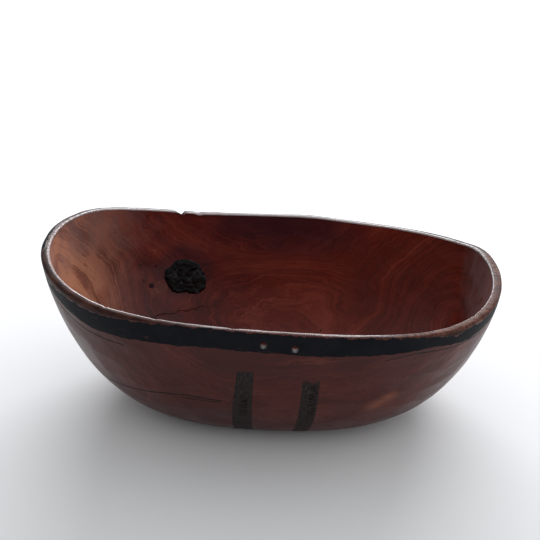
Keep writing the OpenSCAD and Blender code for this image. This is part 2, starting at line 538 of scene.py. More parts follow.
@dataclass(frozen=True)
class Marks:
    """Where burnt and cut marks run.

    The band's edges and the incised line are (direction in degrees, millimetres below the rim). A
    strip's rows are (millimetres below the rim, its left and its right edge in millimetres round the
    rim). Cracks are (millimetres along X, millimetres below the rim), and the inside one's second
    number is its height.
    """

    band_low: tuple = (
        (0, 14), (70, 20), (130, 20), (185, 15), (204, 16), (228, 27), (245, 24), (262, 20), (280, 21),
        (295, 19), (311, 14), (323, 18), (340, 14), (360, 14),
    )
    band_high: tuple = (
        (0, 1.5), (90, 2), (150, 1), (172, -3.5), (187, -3.5), (200, 10), (216, 5.5), (230, 7), (246, 2),
        (260, -1), (275, 0), (300, 0), (310, 2), (318, 7.5), (324, 3), (345, 1), (360, 1.5),
    )
    incised: tuple = (
        (200, 15), (212, 25), (225, 33), (238, 34), (296, 25), (305, 18.5), (320, 19.5), (332, 18),
    )
    left_strip: tuple = ((44, 888, 904), (137, 873, 899))
    right_strip: tuple = ((52, 951, 968), (125, 953, 974))
    crack_long: tuple = ((-152, 104), (-122, 96), (-93, 89), (-66, 85), (-36, 87))
    crack_short: tuple = ((-71, 90), (-38, 89))
    crack_inside: tuple = ((-136, 40), (-105, 38), (-89, 39.5))

    @staticmethod
    def along(points: tuple, at: np.ndarray) -> np.ndarray:
        """Returns a mark's second number at each of the first, straight between its points."""
        table = np.array(points, float)
        return np.interp(at, table[:, 0], table[:, 1])

    @staticmethod
    def across(strip: tuple, below: np.ndarray, around: np.ndarray) -> np.ndarray:
        """Returns how far across a strip each place is, from 0 at its left edge to 1 at its right."""
        table = np.array(strip, float)
        left = np.interp(below, table[:, 0], table[:, 1])
        right = np.interp(below, table[:, 0], table[:, 2])
        return (around - left) / (right - left)

    @staticmethod
    def from_crack(crack: tuple, x: np.ndarray, level: np.ndarray) -> np.ndarray:
        """Returns the distance from a crack, in millimetres, growing past its two ends."""
        table = np.array(crack, float)
        past = np.maximum(np.maximum(table[0, 0] - x, x - table[-1, 0]), 0)
        gap = level - np.interp(x, table[:, 0], table[:, 1])
        return gap + np.where(gap < 0, -past, past)


# ------------------------------------------------------------------ finishes


class Here(NamedTuple):
    """Where a place on the wood is: Object coordinates, and whether it is in the hollow."""

    place: bpy.types.NodeSocket
    x: Amount
    y: Amount
    z: Amount
    inside: Amount


@dataclass(frozen=True)
class WoodFinish:
    """Oiled red hardwood with growth rings, burnt band and strips, with some painted light: highlights on
    the rim and in the cord holes, sheen on the inner ends and low on the outer wall, and shade in cracks,
    cuts and checks.

    The pith, the swirl and the eddy are what the growth rings run round. Names with _at or _size are
    middles and half sizes of ovals on a wall, in metres along X or Y and up Z.
    """

    pith: tuple[float, float] = (0.010, 0.088)
    pith_slope: tuple[float, float] = (0.090, -0.065)
    ring_squash: float = 0.82
    sway_step: tuple[float, float, float] = (7.3, 2.1, 4.7)
    swirl: tuple[float, float] = (-0.005, 0.053)
    swirl_size: tuple[float, float] = (0.058, 0.027)
    eddy: tuple[float, float] = (0.041, 0.066)
    eddy_size: tuple[float, float] = (0.020, 0.017)
    glow_at: tuple[float, float] = (0.020, 0.108)
    glow_size: tuple[float, float] = (0.032, 0.034)
    knot_at: tuple[float, float] = (-0.108, 0.079)
    halo_size: tuple[float, float] = (0.030, 0.027)
    dab_at: tuple[float, float] = (-0.133, 0.066)
    rubbed_size: tuple[float, float] = (0.011, 0.008)
    flame_x: float = 0.118
    wood_gleam: float = 0.25
    char_gleam: float = 0.06
    inside: tuple = (
        (0.060, 0.0070, 0.0050), (0.105, 0.0120, 0.0075), (0.148, 0.0190, 0.0110), (0.215, 0.0400, 0.0240),
    )
    outside: tuple = (
        (0.040, 0.0080, 0.0064), (0.060, 0.0110, 0.0082), (0.080, 0.0155, 0.0108), (0.118, 0.0280, 0.0175),
    )
    ember: Colour = (0.210, 0.0680, 0.0430)
    orange: Colour = (0.500, 0.2150, 0.1250)
    flame: Colour = (0.260, 0.0760, 0.0340)
    warmth: Colour = (0.0440, 0.0060, 0.0012)
    purple: Colour = (0.026, 0.0050, 0.0125)
    low_sheen: Colour = (0.050, 0.0160, 0.0200)
    painted_sheen: Colour = (0.160, 0.0900, 0.0850)
    char: Colour = (0.0056, 0.0060, 0.0086)
    ash: Colour = (0.0094, 0.0096, 0.0124)
    strip: tuple[Colour, Colour] = ((0.0120, 0.0100, 0.0102), (0.0400, 0.0350, 0.0335))
    check_shade: Colour = (0.0006, 0.0006, 0.0008)
    crack_shade: Colour = (0.006, 0.003, 0.003)
    worn: Colour = (0.085, 0.0230, 0.0150)
    seared: tuple[Colour, Colour] = ((0.0250, 0.0105, 0.0085), (0.0620, 0.0230, 0.0150))
    tan: tuple[Colour, Colour] = ((0.0620, 0.0200, 0.0130), (0.1700, 0.0660, 0.0410))
    bare_and_lit: Colour = (0.430, 0.3300, 0.3100)
    pale: Colour = (0.930, 0.9400, 0.9600)

    def material(self) -> bpy.types.Material:
        """Returns the finished material."""
        material, b = new_material("oiled_red_wood")
        place = b.place()
        x, y, z = b.parts(place)
        low, high, line = b.attribute("edges")
        strip_l, strip_r, crack_in = b.attribute("strips")
        crack_a, crack_b, below = b.attribute("cracks")
        around, over, bare_and_lit = b.attribute("rim_run")

        outside = below.rise(-0.2, 0.2)
        inside = over.rise(0.95, 1.2)
        here = Here(place, x, y, z, inside)
        wood, fibre, share = self._figure(b, here)
        wood = self._tints(b, wood, share, here)

        rag = b.noise(place, 330.0, 3.0, 0.6) - 0.5
        broad = b.noise(place, 90.0, 2.0, 0.5) - 0.5
        tear = b.noise_at(around * 700.0, below * 0.05, 0.0) - 0.5

        nick = b.noise_at(around * 75.0, 0.0, 6.0) - 0.5
        ends = (abs(x) + broad * 0.02).rise(0.175, 0.205)
        patches = b.noise_at(around * 55.0, below * 0.12, 2.0, 3.0)
        wide = (abs(x) + broad * 0.02).rise(0.190, 0.215)
        flat = (over + broad * 0.10 + wide * 0.26).rise(0.60, 0.76) * over.rise(1.12, 1.0)
        shoulder = (over + rag * 0.12).rise(-0.34, -0.16) * over.rise(0.72, 0.56)
        brown_end = (x + broad * 0.01).rise(0.095, 0.140) * (y + broad * 0.01).rise(0.060, 0.020)
        brown_end = brown_end * over.rise(0.84, 0.74)
        seared_ends = (0 - x).rise(0.02, 0.09).most(x.rise(0.13, 0.16))
        seared = (high - below + rag).rise(0.0, 1.5) * over.rise(0.66, 0.50) * seared_ends
        seared = seared * outside.most(shoulder)
        hacked = flat.most(shoulder) * brown_end
        # Painted highlight: near white along the rim's inner edge at the front of the right end.
        edge_highlight = over.rise(0.80, 0.86) * over.rise(1.10, 1.03) * x.rise(0.10, 0.14) * y.rise(0.075, 0.03)
        # Painted highlight on the flat rim top: pale worn wood, lightened to near white towards the back.
        wood = b.blend(flat * 0.85, wood, b.blend(y.rise(0.02, 0.07) * 0.5, self.bare_and_lit, self.pale))
        wood = b.blend(edge_highlight * 0.7, wood, self.pale)
        wood = b.blend(shoulder * patches.rise(0.42, 0.56) * 0.8 * (1 - brown_end), wood, self.worn)
        wood = b.blend(shoulder * patches.rise(0.62, 0.66) * 0.5 * (1 - brown_end), wood, self.orange)

        band = (low - below + rag * 1.6 + broad * 2.0 + nick * 4.5).rise(-0.35, 0.35)
        band = band * (below - high + rag * 2.2 + tear * 2.0 + nick * 9.0).rise(-0.4, 0.5)
        worn_through = b.drawn(place, (60.0, 200.0, 200.0)).rise(0.63, 0.74)
        band = band * (1 - worn_through * 0.40)

        edge_l = (0.5 - abs(strip_l - 0.5) + rag * 0.05).rise(-0.02, 0.03)
        left = edge_l * (below + rag * 1.0).rise(43.4, 44.4) * (below + rag).rise(147.0, 144.0)
        hatch = b.noise_at(around * 160.0, below * 1.1, 3.0)
        edge_r = (0.5 - abs(strip_r - 0.5) + (hatch - 0.5) * 0.22).rise(-0.02, 0.04)
        top_r = (below + tear * 10.0).rise(50.0, 54.0)
        right = edge_r * top_r * (below + rag).rise(145.0, 141.0)
        strips = left.most(right)
        strips = strips * (1 - b.noise(place, 260.0, 3.0, 0.65).rise(0.62, 0.72) * 0.5)
        check = b.noise_at(around * 120.0, below * 0.80, 4.0, 1.0, 0.5)
        check_l = (0.24 - abs(strip_l - 0.55)).rise(0.0, 0.1) * (14.0 - abs(below - 92.0)).rise(-6.0, 4.0)
        check_r = (0.26 - abs(strip_r - 0.66)).rise(0.0, 0.12) * (24.0 - abs(below - 80.0)).rise(-6.0, 6.0)
        checks = check.rise(0.53, 0.555) * check_l.most(check_r)
        brushed = b.noise_at(around * 1400.0, below * 0.16, 9.0)

        burnt = band.most(strips * 0.93).most(seared * 0.9).most(hacked * 0.85)

        rings_line = abs(below - line + broad * 0.8)
        groove = (rings_line + rag * 0.3).rise(1.05, 0.35) * outside
        crack = (abs(crack_a + broad * 2.4) + rag * 0.5).rise(1.25, 0.35)
        crack = crack.most((abs(crack_b + broad * 2.0) + rag * 0.5).rise(1.0, 0.25))
        crack = crack.most((abs(crack_in + broad * 7.0) + rag * 0.6).rise(0.75, 0.2) * 0.7)
        split = crack.most(groove * 0.8)
        # Painted shade: near black in the cracks and the incised groove.
        wood = b.blend(split * 0.9, wood, self.crack_shade)
        # Painted light: the cord holes' bores are near white, where light falls through them.
        wood = b.blend(bare_and_lit, wood, self.pale)

        cloud = b.noise(place, 45.0, 3.0, 0.6)
        char = b.blend(cloud.rise(0.35, 0.7), self.char, self.ash)
        dull = b.blend(patches.rise(0.40, 0.62), self.seared[0], self.seared[1])
        char = b.blend(seared * (1 - band), char, dull)
        char = b.blend(hacked * (1 - band), char, b.blend(patches.rise(0.35, 0.6), *self.tan))
        on_strip = strips * (1 - band)
        char = b.blend(on_strip, char, b.blend(brushed.rise(0.36, 0.64), *self.strip))
        # Painted shade: near black in the checks of the burnt strips.
        char = b.blend(on_strip * checks, char, self.check_shade)

        tick = b.noise_at(around * 760.0, below * 0.14, 7.0, 2.0, 0.55)
        hatch_zone = flat.most(shoulder) * ends.most(brown_end) * over.rise(1.02, 0.92)
        # Painted shade: dark ticks in the knife cuts across the rim top and the hacked ends.
        wood = b.blend(hatch_zone * tick.rise(0.52, 0.58) * 0.9, wood, self.outside[0])
        char = b.blend(hacked * tick.rise(0.50, 0.57) * 0.85 * (1 - band), char, self.outside[0])
        fine = b.drawn(place, (260.0, 1100.0, 1100.0), 2.0, 0.5)
        rough_wood = 0.34 + (cloud - 0.5) * 0.26 + (fine - 0.5) * 0.20 + split * 0.3 - flat * 0.10
        rough_wood = rough_wood - bare_and_lit * 0.20
        rough_char = 0.52 + (cloud - 0.5) * 0.3

        wood_normal = b.bump(fibre, 0.00006)
        wood_normal = b.bump(b.noise(place, 55.0, 2.0, 0.5), 0.00045, wood_normal)
        facets = b.cells(b.stretched(place, (24.0, 34.0, 46.0)), 1.0)
        wood_normal = b.bump(facets * (1 - inside * 0.6), 0.0016, wood_normal)
        wood_normal = b.bump(1 - split, 0.0007, wood_normal)
        wood_normal = b.bump(1 - burnt, 0.00012, wood_normal)
        wood_normal = b.bump(tick * hatch_zone, 0.0009, wood_normal)
        char_normal = b.bump(b.drawn(place, (160.0, 520.0, 520.0)), 0.0002)
        char_normal = b.bump(1 - burnt, 0.00012, char_normal)
        char_normal = b.bump(tick * hacked, 0.0007, char_normal)
        char_normal = b.bump(1 - on_strip * checks, 0.0004, char_normal)

        timber = b.surface(wood, rough_wood, self.wood_gleam, wood_normal)
        coal = b.surface(char, rough_char, self.char_gleam, char_normal)
        b.put_out(b.node("ShaderNodeMixShader", None, {0: burnt, 1: timber, 2: coal}).outputs[0])
        return material

    def _figure(self, b: Bench, here: Here) -> tuple[bpy.types.NodeSocket, Amount, Amount]:
        """Makes the growth rings and fibres of a log that lies along X.

        Args:
            b: The bench.
            here: Where the place is.

        Returns:
            The wood's colour, the height of its fibres and how light each ring is.
        """
        place, x, y, z, inside = here
        slow = b.stretched(place, (4.5, 9.0, 9.0))
        moved = b.node("ShaderNodeVectorMath", {"operation": "ADD"}, {0: slow, 1: self.sway_step})
        sway_y = b.noise(slow, 1.0, 2.0, 0.45) - 0.5
        sway_z = b.noise(moved.outputs[0], 1.0, 2.0, 0.45) - 0.5
        off_y = y - self.pith[0] - x * self.pith_slope[0] + sway_y * 0.036
        off_z = (z - self.pith[1] - x * self.pith_slope[1]) * self.ring_squash + sway_z * 0.036
        radius = (off_y * off_y + off_z * off_z) ** 0.5
        whorl = b.oval(x + sway_y * 0.03, z + sway_z * 0.03, self.swirl, self.swirl_size)
        whorl = whorl.rise(4.0, 0.0) * y.rise(0.02, 0.07)
        eddy = b.oval(y + sway_y * 0.02, z + sway_z * 0.02, self.eddy, self.eddy_size)
        eddy = eddy.rise(4.0, 0.0) * x.rise(0.11, 0.16)
        curl = b.drawn(place, (20.0, 46.0, 46.0)) - 0.5
        ring_run = radius - whorl * 0.030 - eddy * 0.036 + curl * 0.012
        bands = b.noise_at(ring_run * 70.0, x * 1.2, 0.0, 2.0, 0.55)
        lines = b.noise_at(ring_run * 430.0, x * 5.0, 5.0, 3.0, 0.65)
        fibre = b.drawn(place, (38.0, 900.0, 900.0), rough=0.65)
        flow = b.noise_at(ring_run * 1300.0, x * 26.0, (y + z) * 14.0, 3.0, 0.65)
        patch = b.drawn(place, (14.0, 20.0, 20.0))
        glint = b.noise_at(ring_run * 820.0, x * 11.0, (y + z) * 9.0)
        tone = bands * 0.26 + lines * 0.26 + flow * 0.26 + fibre * 0.12 + patch * 0.30 - 0.09
        tone = tone + whorl * 0.03 + glint.rise(0.60, 0.70) * 0.07
        share = 0.5 + (tone.rise(0.40, 0.66) - 0.5) * (0.86 + inside * 0.14)
        places = (0.0, 0.30, 0.62, 1.0)
        outer = b.ramp(share, list(zip(places, self.outside)))
        inner = b.ramp(share, list(zip(places, self.inside)))
        return b.blend(inside, outer, inner), fibre * 0.6 + flow * 0.4, share

    def _tints(
        self, b: Bench, wood: bpy.types.NodeSocket, share: Amount, here: Here
    ) -> bpy.types.NodeSocket:
        """Lays broad colour changes over the figure, painted sheen among them.

        Args:
            b: The bench.
            wood: Colour of the figure.
            share: How light each ring is.
            here: Where the place is.

        Returns:
            The tinted colour.
        """
        place, x, y, z, inside = here
        drift = b.noise(place, 9.0, 2.0, 0.5) - 0.5
        end = (x + drift * 0.06).rise(-0.145, -0.207) * inside
        glow = (share + (b.drawn(place, (30.0, 30.0, 30.0)) - 0.5) * 1.1).rise(0.0, 0.66)
        hot = b.blend(glow, self.ember, self.orange)
        wood = b.blend(end * (0.60 + y.rise(0.075, -0.005) * 0.26), wood, hot)
        arcs = b.oval(y, z, self.glow_at, self.glow_size) + drift
        arcs = arcs.rise(1.3, 0.2) * x.rise(-0.165, -0.195) * inside
        wood = b.blend(arcs * (0.10 + glow * 0.50), wood, self.orange)
        # Painted sheen: a streaked grey-lavender reflection high on the left inner end and along the right
        # inner end.
        sheen_mask = (x + drift * 0.10).rise(-0.110, -0.190) * (z + drift * 0.06).rise(0.105, 0.140)
        right = (x + drift * 0.03).rise(0.196, 0.213) * (z + drift * 0.04).rise(0.078, 0.104)
        sheen_mask = sheen_mask.most(right * 2.4)
        sheen_streaks = b.drawn(place, (70.0, 70.0, 22.0)).rise(0.35, 0.65)
        wood = b.blend((sheen_mask * (0.20 + sheen_streaks * 0.38)).least(0.8) * inside, wood, self.painted_sheen)
        flare = b.drawn(place, (11.0, 20.0, 26.0), warp=1.2)
        slant = (z - 0.066) - (x - self.flame_x) * 0.50
        spot = (0.014 - abs(x - self.flame_x + drift * 0.03)).rise(-0.006, 0.013)
        spot = spot * (0.006 - abs(slant + drift * 0.02)).rise(-0.005, 0.006) * (0 - y).rise(0.02, 0.06)
        wood = b.blend(spot * (0.35 + flare.rise(0.42, 0.6) * 0.6) * (1 - inside), wood, self.flame)
        warm = (x + drift * 0.10).rise(-0.05, 0.07) * (1 - sheen_mask.least(1.0)) * inside
        wood = b.blend(warm * (0.62 + x.rise(0.18, 0.10) * 0.38), wood, self.warmth, "ADD")
        # Painted sheen: the outer wall is greyed towards purple near the bottom, standing for the pale
        # floor's reflection.
        low = (z + drift * 0.05).rise(0.075, 0.030) * (1 - inside)
        wood = b.blend(low * 0.35, wood, self.low_sheen)
        cloud = (z + drift * 0.08).rise(0.092, 0.128) * (abs(x - 0.01) + drift * 0.1).rise(0.115, 0.05)
        cloud = cloud * y.rise(0.02, 0.08)
        wood = b.blend(cloud * 0.72, wood, self.purple)
        back = y.rise(0.04, 0.08)
        halo = (b.oval(x, z, self.knot_at, self.halo_size) + drift * 1.5).rise(1.35, 0.7) * back
        wood = b.blend(halo * inside * 0.45, wood, self.purple)
        scuff = b.noise(place, 120.0, 3.0, 0.6) - 0.5
        rubbed = (b.oval(x, z, self.dab_at, self.rubbed_size) + scuff * 3.0).rise(1.2, 0.3) * back
        return b.blend(rubbed * inside * (0.05 + scuff.rise(0.0, 0.12) * 0.20), wood, self.orange)


@dataclass(frozen=True)
class PitchFinish:
    """Old pitch: near black and dull, with broken faces greyed partly by dust and partly by painted
    highlight.
    """

    name: str = "old_pitch"
    base: Colour = (0.0010, 0.0011, 0.0015)
    dust_and_highlight: Colour = (0.0240, 0.0255, 0.0295)
    rough: float = 0.36
    gleam: float = 0.15

    def material(self) -> bpy.types.Material:
        """Returns the finished material."""
        material, b = new_material(self.name)
        place = b.place()
        cloud = b.noise(place, 160.0, 4.0, 0.6)
        grit = b.noise(place, 900.0, 3.0, 0.6)
        broken = b.cells(place, 130.0, "SMOOTH_F1") + (cloud - 0.5) * 0.5
        # The grey patches on the broken faces are partly dust and partly painted highlight.
        colour = b.blend(broken.rise(0.44, 0.58) * cloud.rise(0.48, 0.62), self.base, self.dust_and_highlight)
        normal = b.bump(b.cells(place, 240.0), 0.0005)
        normal = b.bump(grit, 0.00012, normal)
        b.put_out(b.surface(colour, self.rough + (cloud - 0.5) * 0.4, self.gleam, normal))
        return material


# ------------------------------------------------------------------ the carved body


@dataclass
class CarvedBody:
    """The hollowed block: skin, rim, holes and the attributes that its marks are read from.

    Swells and dents of the rim are (direction in degrees, millimetres up or down, degrees wide). How far
    they reach down the wall, and the rim's width, are in millimetres too.
    """

    form: BowlForm = field(default_factory=BowlForm)
    marks: Marks = field(default_factory=Marks)
    stations: int = 448
    foot_rings: int = 12
    wall_rings: int = 82
    shoulder_rings: int = 6
    top_rings: int = 3
    lip_rings: int = 4
    crowding: float = 1.3
    shoulder: tuple[float, float] = (0.0034, 0.0026)
    lip: tuple[float, float] = (0.0011, 0.0012)
    cord_holes: tuple = ((0.0057, 0.012), (0.0343, 0.014))
    cord_hole_d: float = 0.0066
    cord_hole_rise: float = 0.04
    borers: tuple = ((-0.154, 0.0935), (-0.1385, 0.088), (-0.150, 0.0765))
    borer_d: float = 0.0019
    borer_depth: float = 0.004
    lone_borer: tuple[float, float] = (0.0495, 0.021)
    chip_x: float = -0.111
    chip_width: float = 0.013
    chip_depth: float = 0.0045
    chip_fall: float = 0.42
    unevenness: tuple[float, float] = (0.00042, 0.00016)
    raised: float = 0.0006
    ripple: float = 0.0003
    rim_across: float = 7.5
    dent_reach: float = 4.5
    swell_reach: float = 34.0
    swells: tuple = (
        (148.0, 2.2, 12.0), (112.0, -2.0, 11.0), (82.0, 2.0, 10.0), (20.0, 2.4, 8.0), (270.0, 0.5, 40.0),
    )
    dents: tuple = (
        (248.0, 1.1, 0.6), (266.4, 1.0, 0.8), (232.0, 1.4, 0.5), (113.0, 1.6, 0.9), (331.0, 1.2, 0.7),
    )

    def build(self) -> bpy.types.Object:
        """Returns the carved body with its holes cut and its attributes in place."""
        tube = self._tube()
        self._mould(tube)
        self._cut(tube, self._cutters())
        return finish_off(tube, "carved_body", 38)

    def _ring_count(self) -> int:
        """Returns the number of rings from the middle of the foot to the middle of the floor."""
        edge = self.shoulder_rings + self.top_rings + self.lip_rings
        return 2 * (self.foot_rings + self.wall_rings) + edge

    def _tube(self) -> bpy.types.Object:
        """Returns a closed tube with one ring of points for each ring of the skin."""
        tube = added(
            bpy.ops.mesh.primitive_cylinder_add,
            vertices=self.stations,
            radius=1.0,
            depth=1.0,
            end_fill_type="TRIFAN",
            location=(0, 0, 0.5),
        )
        settle(tube, Matrix.Identity(4))
        bpy.ops.object.mode_set(mode="EDIT")
        bpy.ops.mesh.select_mode(type="EDGE")
        bpy.ops.mesh.select_all(action="DESELECT")
        mesh = bmesh.from_edit_mesh(tube.data)
        for edge in mesh.edges:
            edge.select_set(abs(edge.verts[0].co.z - edge.verts[1].co.z) > 0.5)
        bmesh.update_edit_mesh(tube.data)
        bpy.ops.mesh.subdivide(number_cuts=(self._ring_count() - 1) // 4 - 1)
        bpy.ops.mesh.subdivide(number_cuts=3)
        bpy.ops.object.mode_set(mode="OBJECT")
        return tube

    def _rings(self, t: np.ndarray) -> tuple[np.ndarray, int]:
        """Gives the skin's points, ring by ring.

        Args:
            t: Directions of the stations.

        Returns:
            Points by ring and station, and the number of the ring on the rim's outer corner.
        """
        form = self.form
        quarter = np.full_like(t, math.pi / 2)
        out_top, in_top = form.skin(t, quarter, Skin.OUTER), form.skin(t, quarter, Skin.INNER)
        thick = np.linalg.norm(in_top - out_top, axis=1, keepdims=True)
        inward = (in_top - out_top) / thick
        rim = form.rim_z(t)

        def disc(side: Skin) -> list[np.ndarray]:
            """Returns the rings of the flat foot or floor, from its middle outwards."""
            edge = form.skin(t, 0 * t, side)
            middle = np.array([-form.foot_shift, 0, side.value * form.floor_thickness])
            shares = [(k + 0.4) / self.foot_rings for k in range(self.foot_rings)]
            return [middle + (edge - middle) * share for share in shares]

        def wall(side: Skin, drop: float) -> list[np.ndarray]:
            """Returns the rings of a wall, from the foot up to a depth below the rim."""
            top = form.g_at(t, rim - drop, side)
            shares = [(k / (self.wall_rings - 1)) ** self.crowding for k in range(self.wall_rings)]
            return [form.skin(t, top * share, side) for share in shares]

        def bend(side: Skin, size: tuple[float, float], turn: float) -> np.ndarray:
            """Returns a ring of the rim's rounded edge at an angle of its quarter turn."""
            level = rim - size[1] * (1 - math.sin(turn))
            shift = inward * size[0] * (1 - math.cos(turn))
            ring = form.skin(t, form.g_at(t, level, side), side)
            return ring + shift if side is Skin.OUTER else ring - shift

        rings = disc(Skin.OUTER) + wall(Skin.OUTER, self.shoulder[1])
        for k in range(1, self.shoulder_rings + 1):
            rings.append(bend(Skin.OUTER, self.shoulder, math.pi / 2 * k / self.shoulder_rings))
        flat = thick - self.shoulder[0] - self.lip[0]
        for k in range(1, self.top_rings + 1):
            rings.append(out_top + inward * (self.shoulder[0] + flat * k / (self.top_rings + 1)))
        for k in range(self.lip_rings):
            rings.append(bend(Skin.INNER, self.lip, math.pi / 2 * (1 - k / self.lip_rings)))
        rings += wall(Skin.INNER, self.lip[1])[::-1] + disc(Skin.INNER)[::-1]
        corner = self.foot_rings + self.wall_rings + self.shoulder_rings // 2 - 1
        return np.array(rings), corner

    def _mould(self, tube: bpy.types.Object) -> None:
        """Lays the tube's rings on the carved skin and stores where each point lies on it."""
        t = np.arange(self.stations) * 2 * math.pi / self.stations
        rings, corner = self._rings(t)
        count = len(rings)
        steps = np.linalg.norm(np.diff(rings, axis=0), axis=2)
        run = np.concatenate([np.zeros((1, self.stations)), np.cumsum(steps, axis=0)])
        below = (run[corner] - run) / MM
        edge = self.form.skin(t, np.full_like(t, math.pi / 2), Skin.OUTER)
        around = np.concatenate([[0], np.cumsum(np.linalg.norm(np.diff(edge, axis=0), axis=1))])
        rings = self._hand_work(rings, below, t)

        mesh = tube.data
        co = np.zeros(len(mesh.vertices) * 3)
        mesh.vertices.foreach_get("co", co)
        co = co.reshape(-1, 3)
        ring = np.rint(co[:, 2] * (count - 1)).astype(int)
        turn = np.arctan2(co[:, 1], co[:, 0]) / (2 * math.pi)
        station = np.rint(turn * self.stations).astype(int) % self.stations
        pole = np.hypot(co[:, 0], co[:, 1]) < 0.5
        placed = rings[ring, station]
        placed[pole] = rings[ring[pole]].mean(axis=1)
        mesh.vertices.foreach_set("co", placed.ravel())
        mesh.update()

        degrees = np.degrees(t)[station]
        deep = below[ring, station]
        along = around[station]
        edge_in = self.form.skin(t, np.full_like(t, math.pi / 2), Skin.INNER)
        over = -deep * MM / np.linalg.norm(edge_in - edge, axis=1)[station]
        x, y, z = placed[:, 0] / MM, placed[:, 1] / MM, placed[:, 2] / MM
        outer = (ring <= corner + 1) & (y < 0)
        inner = (deep < -8) & (y > 0)
        marks = self.marks
        cut_here = (degrees < 239) | ((degrees > 296) & (degrees < 333))
        self._store(mesh, "edges", (
            marks.along(marks.band_low, degrees),
            marks.along(marks.band_high, degrees),
            np.where(cut_here, marks.along(marks.incised, degrees), -NOWHERE),
        ))
        self._store(mesh, "strips", (
            np.where(outer, marks.across(marks.left_strip, deep, along / MM), -NOWHERE),
            np.where(outer, marks.across(marks.right_strip, deep, along / MM), -NOWHERE),
            np.where(inner, marks.from_crack(marks.crack_inside, x, z), NOWHERE),
        ))
        self._store(mesh, "cracks", (
            np.where(outer, marks.from_crack(marks.crack_long, x, deep), NOWHERE),
            np.where(outer, marks.from_crack(marks.crack_short, x, deep), NOWHERE),
            deep,
        ))
        self._store(mesh, "rim_run", (along, over, 0 * along))

    def _hand_work(self, rings: np.ndarray, below: np.ndarray, t: np.ndarray) -> np.ndarray:
        """Gives the skin the small unevenness of hand work.

        Args:
            rings: Points by ring and station.
            below: Millimetres below the rim, negative over the rim and inside.
            t: Directions of the stations.

        Returns:
            The points, moved by about half a millimetre, and by up to three at the rim.
        """
        along = np.roll(rings, -1, axis=1) - np.roll(rings, 1, axis=1)
        up = np.gradient(rings, axis=0)
        out = np.cross(along, up)
        out /= np.maximum(np.linalg.norm(out, axis=2, keepdims=True), 1e-12)
        lift = np.empty(rings.shape[:2])
        for i, ring in enumerate(rings):
            for j, p in enumerate(ring):
                slow = noise.noise((p[0] * 18, p[1] * 30, p[2] * 30))
                quick = noise.noise((p[0] * 55 + 9, p[1] * 70, p[2] * 70))
                lift[i, j] = self.unevenness[0] * slow + self.unevenness[1] * quick
        calm = np.clip((rings[..., 2] - 0.002) / 0.02, 0, 1)
        moved = rings + out * (lift * calm)[..., None]
        depth = np.minimum(np.abs(below), np.abs(below + self.rim_across))
        near_top = np.exp(-((depth / self.dent_reach) ** 2))
        degrees = np.degrees(t)
        sag = np.zeros_like(t)
        for at, fall, wide in self.dents:
            sag += fall * MM * np.exp(-(((degrees - at) / wide) ** 2))
        swell = np.full_like(t, self.raised)
        for at, rise, wide in self.swells:
            swell += rise * MM * np.exp(-(((degrees - at) / wide) ** 2))
        ripple = np.array([noise.noise((p[0] * 90, p[1] * 90, 3.0)) for p in rings[len(rings) // 2]])
        moved[..., 2] -= near_top * (sag + self.ripple * (ripple + 1))[None, :]
        moved[..., 2] += np.exp(-((depth / self.swell_reach) ** 2)) * swell[None, :]
        return moved

    @staticmethod
    def _store(mesh: bpy.types.Mesh, name: str, columns: tuple) -> None:
        """Stores three numbers for each point of a mesh under a name."""
        layer = mesh.attributes.new(name, "FLOAT_VECTOR", "POINT")
        layer.data.foreach_set("vector", np.stack(columns, axis=1).astype(np.float32).ravel())

    def _plain(self, mesh: bpy.types.Mesh, bare_and_lit: float) -> None:
        """Stores numbers that leave a cutter's faces free of marks; the number given last says how far
        their faces are painted near white, as painted light falling through the cord holes.
        """
        deep_inside, well_over = -50.0, 5.0
        for name, numbers in (
            ("edges", (0.0, 0.0, -NOWHERE)),
            ("strips", (-NOWHERE, -NOWHERE, NOWHERE)),
            ("cracks", (NOWHERE, NOWHERE, deep_inside)),
            ("rim_run", (0.0, well_over, bare_and_lit)),
        ):
            self._store(mesh, name, tuple(np.full(len(mesh.vertices), n) for n in numbers))

    @staticmethod
    def _drill(at: Vector, way: Vector, diameter: float, depth: float, sides: int) -> bpy.types.Object:
        """Returns a round cutter with its middle at a place on a skin."""
        round_bar = bpy.ops.mesh.primitive_cylinder_add
        drill = added(round_bar, vertices=sides, radius=diameter / 2, depth=2 * depth)
        settle(drill, facing(at, way))
        return drill

    def _chip(self) -> bpy.types.Object:
        """Returns the wedge that takes the V-shaped chip out of the back rim."""
        form = self.form
        at, way = form.on_wall(self.chip_x, form.rim_height - self.chip_depth, Skin.INNER, front=False)
        t = np.array([math.atan2(at.y / form.width, at.x / form.length)])
        level = Vector((way.x, way.y, -self.chip_fall * math.hypot(way.x, way.y))).normalized()
        wedge = added(bpy.ops.mesh.primitive_cylinder_add, vertices=3, radius=1.0, depth=0.04)
        w, d = self.chip_width, self.chip_depth
        profile = {0: (-w, d), 1: (-w / 20, -d), 2: (w, d)}
        angles = sorted({round(math.atan2(v.co.y, v.co.x), 3) for v in wedge.data.vertices})
        for v in wedge.data.vertices:
            v.co.x, v.co.y = profile[angles.index(round(math.atan2(v.co.y, v.co.x), 3))]
        top = Vector((at.x, at.y, float(form.rim_z(t)[0])))
        settle(wedge, facing(top, level))
        recalculate_outwards(wedge)
        return wedge

